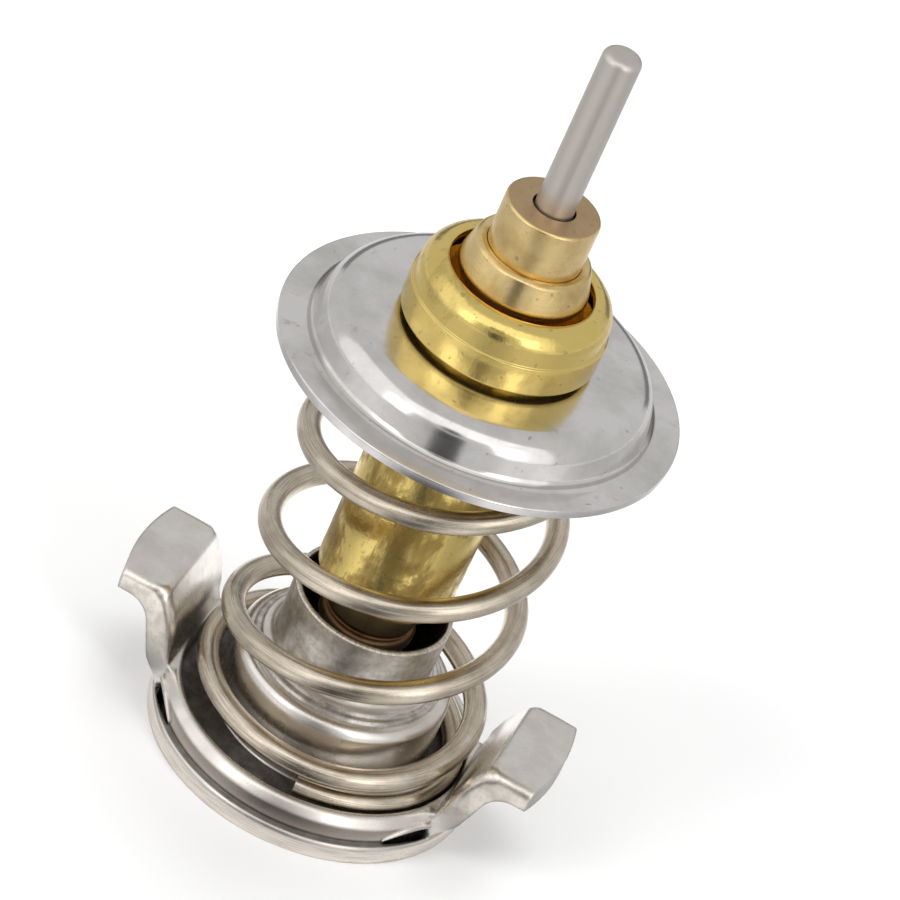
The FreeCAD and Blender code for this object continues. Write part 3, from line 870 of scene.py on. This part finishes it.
# grinding lines 0.33 mm wide, much coarser than real grit leaves them, so that they show
grind = add("TexNoise", add("Mapping", pin_steel.place, Scale=(1, 1, 0.02)),
            Scale=every(0.33333), Detail=3.0, Roughness=0.55)
bloom = add("TexNoise", add("Mapping", pin_steel.place, Scale=(1, 1, 0.25)),
            Scale=every(2.0), Detail=4.0, Roughness=0.55)
lighter = add("Math", grind, 0.5, add("Math", bloom, 0.5, operation="MULTIPLY"), operation="MULTIPLY_ADD")
pin_steel.to_shader(
    Base_Color=pin_steel.coats(paint("#C8C0B8"), (lighter, 1.0, paint("#E2DBD5"))),
    Roughness=add("ValToRGB", grind, stops=[(0.3, 0.38), (0.8, 0.48)]),
    Normal=pin_steel.relief((grind, 0.10, 0.02)),
)
pin_steel.give(pin)

# %% [markdown]
# The bracket was tumbled after pressing, so its edges are soft and its skin is satin. The spring's
# channel, the inside of the collar, the relief slots and the crease of the flange are painted near
# black: partly grime, partly painted shade. The ridge's outer wall is painted darker, a painted dark
# reflection. The rim's wall was turned, the collar's stretched wall is mottled, its sheared brim
# is bright and rough, and the ears' sheared sides are bright too.

# %% Patterns of the satin steel
satin = Bench("tumbled stamped steel", Metallic=1.0, Roughness=0.25)
add = satin.add
radius, turn, height = satin.around_axis()
cloud = add("TexNoise", satin.place, Scale=every(5.5556), Detail=5.0, Roughness=0.62)
mottle = add("TexNoise", satin.place, Scale=every(1.42857), Detail=4.0, Roughness=0.65)
# tumbling stones leave a grain under 0.1 mm, too fine to show: drawn at 0.38 mm
grain = add("TexNoise", satin.place, Scale=every(0.38462), Detail=3.0, Roughness=0.55)
rim_place = satin.spread(X=(turn, rim_r / 3.925), Z=(height, every(0.25)))
rim_lines = add("TexNoise", rim_place, Scale=1.0, Detail=3.0, Roughness=0.55)
teeth_place = satin.spread(X=(turn, collar_r / 0.17), Y=(radius, every(1.1111)), Z=(height, every(1.1111)))
teeth = add("TexNoise", teeth_place, Scale=1.0, Detail=3.0, Roughness=0.55)


# %% [markdown]
# A zone of a turned piece is told by radius and height alone. Each entry gives the inner and outer
# radius with their softness, then the lower and upper height with theirs. None leaves a side open.

# %% Zones of the bracket
def zone(inner, outer, soft_out, bottom, top, soft_up):
    """A mask that is 1 in a ring of the bracket."""
    across = satin.between(radius, inner, outer, soft_out)
    upwards = satin.between(height, bottom, top, soft_up)
    return add("Math", across, upwards, operation="MULTIPLY")


rim_wall = zone(rim_r - 0.2, None, 0.08, None, sheet - 0.1, 0.1)
channel = zone(shoulder_r + 0.1, channel_r - 0.02, 0.06, None, seat + 0.5, 0.9)
# painted reflection: the ridge's upright outer wall gets a darker coat, for the dark ground it mirrors
wall = zone(ridge_r - 0.1, ridge_r + 0.12, 0.05, sheet, ridge_top - 1.0, 0.2)
shaded_crease = zone(ridge_r - 0.08, ridge_r + 0.42, 0.06, sheet - 0.2, sheet + 0.35, 0.15)
coined = zone(step_r - 0.08, step_r + 0.72, 0.05, shoulder_top - 0.8, None, 0.1)
collar = zone(None, collar_r + 0.4, 0.2, shoulder_top + 0.7, None, 0.5)
slots = zone(slot_inner - 0.1, ridge_r - 0.05, 0.03, None, ridge_top - 1.4, 0.1)
brim = zone(None, collar_r + 0.1, 0.1, collar_top - 0.22, None, 0.1)
ears = zone(channel_r, None, 0.1, ridge_top + 1.0, None, 1.4)
inside = satin.between(radius, None, collar_bore + 0.15, 0.06)
aside = add("Math", add("SeparateXYZ", satin.place).outputs["Y"], operation="ABSOLUTE")
sheared = add("Math", ears, satin.between(aside, ear_width / 2 - 0.45, None, 0.3), operation="MULTIPLY")
# grime and painted shade: a near-black coat in the channel, inside the collar, in the slots and, weaker, in
# the flange's crease
grime_and_shade = add("Math", shaded_crease, 0.75, operation="MULTIPLY")
for shaded_zone in (channel, inside, slots):
    grime_and_shade = add("Math", grime_and_shade, shaded_zone, operation="MAXIMUM")
grime_and_shade = add("Math", grime_and_shade, add("ValToRGB", mottle, stops=[(0.4, 1.0), (0.65, 0.86)]), operation="MULTIPLY")


# %% [markdown]
# The mottle and the fine lines change how much of a coat stays in its zone.

# %% Satin steel of the bracket
def patchy(mask, pattern, *stops):
    """A mask weakened by a pattern."""
    return add("Math", mask, add("ValToRGB", pattern, stops=stops), operation="MULTIPLY")


skin = satin.coats(
    paint("#F1EDE7"),
    (add("ValToRGB", cloud, stops=[(0.35, 0.0), (0.68, 1.0)]), 1.0, paint("#DAD3CB")),
    (patchy(collar, mottle, (0.35, 0.25), (0.62, 0.95)), 1.0, paint("#AA9F91")),
    (patchy(coined, mottle, (0.4, 0.2), (0.6, 0.6)), 1.0, paint("#898179")))
cut_face = satin.coats(
    paint("#FCF5EB"), (add("ValToRGB", mottle, stops=[(0.38, 0.0), (0.6, 1.0)]), 1.0, paint("#DFD6C9")))
# the wall's coat is a painted dark reflection, and the last coat is grime and painted shade
skin = satin.coats(
    skin, (sheared, 1.0, cut_face), (rim_wall, 1.0, paint("#E7DFD6")), (wall, 0.75, paint("#ADA093")),
    (patchy(rim_wall, rim_lines, (0.45, 0.0), (0.65, 0.5)), 1.0, paint("#BCB1A4")),
    (patchy(brim, teeth, (0.35, 0.3), (0.6, 1.0)), 1.0, paint("#FBF4E8")),
    (grime_and_shade, 1.0, paint("#29241F")))
dulled = add("ValToRGB", cloud, stops=[(0.3, 0.2), (0.75, 0.36)])
dulled = add("Math", grime_and_shade, 0.25, dulled, operation="MULTIPLY_ADD")
satin.to_shader(
    Base_Color=skin,
    Roughness=add("Math", collar, 0.14, dulled, operation="MULTIPLY_ADD"),
    Normal=satin.relief(
        (add("Math", teeth, brim, operation="MULTIPLY"), 0.7, 0.12),
        (add("Math", rim_lines, rim_wall, operation="MULTIPLY"), 0.3, 0.04),
        (grain, 0.10, 0.04),
        ground=add("Bevel", Radius=0.4 * MM, samples=6)),
)
satin.give(bracket)

# %% [markdown]
# The spring's wire was drawn through a die and not polished since: a warm grey, with fine lines that
# run along it and make each highlight long and broken. The map along the wire carries them.

# %% Drawn wire of the spring
wire_steel = Bench("drawn steel wire", Metallic=1.0, Roughness=0.3)
add = wire_steel.add
wire_round, map_unit = math.pi * wire, 10.0
uv = add("UVMap", uv_map="along_wire")
# lines 0.06 mm wide and 3.7 mm long, and a few darker scores 0.04 mm wide and 13 mm long
drawn = add("TexNoise", add("Mapping", uv, Scale=(map_unit / 3.7037, wire_round / 0.060628, 1)),
            Scale=1.0, Detail=4.0, Roughness=0.6)
scores = add("TexNoise", add("Mapping", uv, Scale=(map_unit / 13.3333, wire_round / 0.038397, 1)),
             Scale=1.0, Detail=2.0, Roughness=0.55)
scores = add("ValToRGB", scores, stops=[(0.56, 0.0), (0.66, 1.0)])
patches = add("TexNoise", wire_steel.place, Scale=every(3.84615), Detail=4.0, Roughness=0.6)
lighter = add("Math", drawn, 0.6, add("Math", patches, 0.4, operation="MULTIPLY"), operation="MULTIPLY_ADD")
lighter = add("ValToRGB", lighter, stops=[(0.36, 0.0), (0.62, 1.0)])
wire_steel.to_shader(
    Base_Color=wire_steel.coats(
        paint("#AA9D8B"), (lighter, 1.0, paint("#EBE0CE")), (scores, 0.5, paint("#897965"))),
    Roughness=add("ValToRGB", patches, stops=[(0.3, 0.19), (0.75, 0.31)]),
    Normal=wire_steel.relief((drawn, 0.22, 0.05)),
)
wire_steel.give(spring)

# %% [markdown]
# The wiper is moulded nitrile rubber: near black, matt, with the fine grain of its mould. Only a thin
# line of it shows round the pin.

# %% Rubber of the wiper
rubber = Bench("moulded nitrile rubber", Metallic=0.0, Roughness=0.6, Base_Color=paint("#343030"))
mould_grain = rubber.add("TexNoise", rubber.place, Scale=every(0.33333), Detail=3.0, Roughness=0.55)
rubber.to_shader(Normal=rubber.relief((mould_grain, 0.2, 0.05)))
rubber.give(wiper)

# %% [markdown]
# A finish for each piece that stays hidden inside, so that nothing is left bare: the wax, the boot and
# its washer show only if the part is cut open.

# %% Hidden pieces
def plain_finish(name, colour, rough, node):
    """A cloudy tint for a solid of the frame that keeps its own shape."""
    bench = Bench(name, Metallic=0.0, Roughness=rough)
    tint = bench.add("TexNoise", bench.place, Scale=every(1.1111), Detail=3.0, Roughness=0.55)
    darker = tuple(c * 0.8 for c in colour)
    bench.to_shader(Base_Color=bench.coats(colour, (tint, 1.0, darker)))
    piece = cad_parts[node]
    for k in range(len(piece.material_slots)):
        piece.material_slots[k].material = bench.material
    print(name, "on", node)


plain_finish("wax", paint("#E1D4AD"), 0.6, "wax_charge")
plain_finish("boot rubber", paint("#383838"), 0.7, "rubber_boot")
plain_finish("washer plastic", paint("#EDECE7"), 0.4, "backup_washer")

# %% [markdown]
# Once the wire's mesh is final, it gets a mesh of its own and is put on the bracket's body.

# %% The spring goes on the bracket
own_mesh(spring)
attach(spring, "bracket")

# %% [markdown]
# The object stands on a pale floor. The camera looks down at 34 degrees from a little left of the
# front, through a long lens, and is rolled so that the insert leans to the right in the frame. The
# insert itself could be tilted instead, but it stays upright, so that every other view is level.

# %% Camera
front_deg, viewer_deg, roll_deg, half_view_deg = 277.0, 34.29, 24.67, 5.5
picture_px, aside_px, upwards_px = 900, -11.14, -39.21
viewer_az, viewer_el, roll = math.radians(front_deg), math.radians(viewer_deg), math.radians(roll_deg)
aim = Vector((0, 0, 40.25)) * MM
distance = 406 * MM
towards = Vector((math.cos(viewer_az) * math.cos(viewer_el), math.sin(viewer_az) * math.cos(viewer_el),
                  math.sin(viewer_el)))
level = Vector((-math.sin(viewer_az), math.cos(viewer_az), 0))
upright = level.cross(-towards)
right = level * math.cos(roll) + upright * math.sin(roll)
up = upright * math.cos(roll) - level * math.sin(roll)
bpy.ops.object.camera_add()
camera = bpy.context.object
camera.name = "camera"
camera.matrix_world = Matrix((
    (right.x, up.x, towards.x, aim.x + towards.x * distance),
    (right.y, up.y, towards.y, aim.y + towards.y * distance),
    (right.z, up.z, towards.z, aim.z + towards.z * distance),
    (0, 0, 0, 1),
))
camera.data.sensor_width = 36
camera.data.lens = camera.data.sensor_width / 2 / math.tan(math.radians(half_view_deg))
camera.data.shift_x = aside_px / picture_px
camera.data.shift_y = upwards_px / picture_px
camera.data.clip_start = 0.01
bpy.context.scene.camera = camera
print("camera lens", round(camera.data.lens, 1), "mm, from", round(distance / MM), "mm away")

# %% [markdown]
# The floor is one matt white sheet, far larger than the object, so that no edge of it shows and the
# object's soft shadow has something to fall on.

# %% Floor
bpy.ops.mesh.primitive_plane_add(size=6)
floor = bpy.context.object
floor.name = "floor"
Bench("floor", Roughness=0.9, Base_Color=paint("#F3F3F3")).give(floor)

# %% [markdown]
# Upright metal mirrors what lies low around it, so a photographer lays paper on the table outside the
# picture: white where a bright band is wanted, black for a dark streak. Here one ring of card does
# that. Only reflections see it. Its tone changes with direction.

# %% Reflection card on the table
def glow(name, tone, pattern=None):
    """An emission material of one tone, shaped by a pattern that a function builds on its bench."""
    bench = Bench(name)
    light = bench.add("Emission", Strength=tone)
    if pattern:
        bench.feed(light.inputs["Color"], pattern(bench))
    output = next(n for n in bench.tree.nodes if n.type == "OUTPUT_MATERIAL")
    bench.feed(output.inputs["Surface"], light)
    return bench


def only_in_reflections(piece):
    """Hides a card from the camera and from all light but reflections."""
    piece.visible_camera = piece.visible_diffuse = piece.visible_shadow = False
    piece.visible_transmission = piece.visible_volume_scatter = False


# %% [markdown]
# The card's tone is given by direction: degrees to the right of the camera. How much of it is left
# changes with the distance from the axis, in millimetres. Next to the rim lies a white strip that
# the rim's wall mirrors all round, and far out an even grey, for guide and pin.

# %% Tones of the card
card_tones = [
    (-180, 1.40), (-150, 1.20), (-120, 0.60), (-95, 0.50), (-70, 0.60), (-52, 0.90), (-44, 1.05),
    (-27, 1.05), (-20, 0.65), (-12, 0.30), (-6, 0.12), (8, 0.10), (13, 0.28), (23, 0.66), (29, 0.95),
    (46, 0.95), (56, 0.70), (72, 0.50), (90, 0.45), (120, 0.60), (150, 1.20), (180, 1.40),
]
card_fall = [(18.5, 0.42), (20.6, 0.42), (22.0, 0.80), (33.0, 1.0), (60.0, 1.0), (160.0, 1.0)]
far_tones = [(90.0, 1.1), (97.0, 1.05), (103.0, 0.56), (160.0, 0.56)]
near_reach, near_soft, near_tone = 18.3, 0.15, 0.85
far_reach, far_soft, far_share, card_reach = 90.0, 3.0, 0.75, 160.0


def card_tone(bench):
    """The card's tone at a place, from its direction and its distance."""
    add = bench.add
    radius, turn, _ = bench.around_axis()
    away = add("Math", turn, math.radians(front_deg - 360), operation="SUBTRACT")
    away = add("Math", away, math.pi, -math.pi, operation="WRAP")
    share = add("Math", away, 1 / math.tau, 0.5, operation="MULTIPLY_ADD")
    tone = add("ValToRGB", share, stops=[(deg / 360 + 0.5, tone) for deg, tone in card_tones])
    reach = add("Math", radius, card_reach * MM, operation="DIVIDE")
    fall = add("ValToRGB", reach, stops=[(r / card_reach, part) for r, part in card_fall])
    far_tone = add("ValToRGB", reach, stops=[(r / card_reach, tone) for r, tone in far_tones])
    near = add("Math", bench.between(radius, None, near_reach, near_soft), near_tone, operation="MULTIPLY")
    near_and_middle = add("Math", add("Math", tone, fall, operation="MULTIPLY"), near, operation="MAXIMUM")
    far_out = bench.between(radius, far_reach, None, far_soft)
    return bench.coats(near_and_middle, (far_out, far_share, far_tone))


# %% [markdown]
# The card is a flat ring, wider than the object's own floor space by far. It lies just above the
# floor and starts outside the rim. A plane with a hole cut in it would do as well; a circle that is
# extruded and scaled needs no cutting.

# %% The card itself
card_hole, card_lift, card_growth = 16.2, 0.1, 30
bpy.ops.mesh.primitive_circle_add(vertices=96, radius=card_hole * MM, fill_type="NOTHING",
                                  location=(0, 0, card_lift * MM))
card = bpy.context.object
card.name = "table_card"
bpy.ops.object.mode_set(mode="EDIT")
bpy.ops.mesh.select_all(action="SELECT")
bpy.ops.mesh.extrude_region_move()
bpy.ops.transform.resize(value=(card_growth, card_growth, 1))
bpy.ops.object.mode_set(mode="OBJECT")
glow("table card", 1.0, card_tone).give(card)
only_in_reflections(card)

# %% [markdown]
# Higher up stand eight panels. Three large soft ones left, right and above give the calm grey of
# the room, and two narrow windows beside the camera the bright patches on every rounded shoulder.
# Three dark ones, for the camera, its lens and what lies behind, keep a dark heart between them.

# %% Panels round the object
def panel(name, deg, height, distance, size, tone):
    """A card that faces the object, so many degrees right of the camera, in metres."""
    angle = math.radians(front_deg + deg)
    bpy.ops.mesh.primitive_plane_add(size=1)
    piece = bpy.context.object
    piece.name = name
    bpy.ops.object.mode_set(mode="EDIT")
    bpy.ops.mesh.select_all(action="SELECT")
    bpy.ops.transform.resize(value=(size[0], size[1], 1))
    bpy.ops.object.mode_set(mode="OBJECT")
    place = Vector((math.cos(angle) * distance, math.sin(angle) * distance, height))
    piece.rotation_euler = (Vector((0, 0, 0.05)) - place).to_track_quat("Z", "Y").to_euler()
    piece.location = place
    bpy.ops.object.transform_apply(location=True, rotation=True, scale=True)
    glow(name, tone).give(piece)
    only_in_reflections(piece)


panel("soft_left", -68, 0.34, 0.50, (0.62, 0.66), 1.05)
panel("soft_right", 50, 0.30, 0.50, (0.34, 0.56), 1.10)
panel("soft_over", 8, 0.48, 0.34, (0.70, 0.34), 1.30)
panel("window_left", -37, 0.22, 0.40, (0.13, 0.26), 1.9)
panel("window_right", 38, 0.22, 0.40, (0.13, 0.26), 2.3)
panel("dark_camera", 0, 0.10, 0.36, (0.12, 0.18), 0.06)
panel("dark_lens", 0, 0.315, 0.40, (0.10, 0.10), 0.04)
panel("dark_back", 180, 0.09, 0.60, (0.80, 0.20), 0.20)

# %% [markdown]
# Three soft boxes light what isn't a mirror: floor, rubber, dirt and every rough patch. Reflections
# don't see them, because the panels above are drawn for that. An even grey world fills the shadows.

# %% Lamps and the world
def lamp(name, place, aim_at, size, power):
    """A soft box at a place, aimed at another, with its size in metres and its power in watts."""
    bpy.ops.object.light_add(type="AREA", location=place)
    light = bpy.context.object
    light.name = name
    light.data.shape = "RECTANGLE"
    light.data.size, light.data.size_y = size
    light.data.energy = power
    light.visible_glossy = False
    light.rotation_euler = (Vector(aim_at) - Vector(place)).to_track_quat("-Z", "Y").to_euler()


middle_of_object, world_strength = (0, 0, 0.04), 0.62
lamp("left box", (-0.45, -0.45, 0.55), middle_of_object, (0.35, 0.5), 3.0)
lamp("right box", (0.55, -0.30, 0.50), middle_of_object, (0.3, 0.5), 2.0)
lamp("top box", (0.0, 0.25, 0.75), middle_of_object, (0.6, 0.4), 2.0)
world = bpy.data.worlds.new("studio")
bpy.context.scene.world = world
world.use_nodes = True
background = world.node_tree.nodes["Background"].inputs
background["Color"].default_value = (1, 1, 1, 1)
background["Strength"].default_value = world_strength
bpy.context.scene.view_settings.view_transform = "Standard"
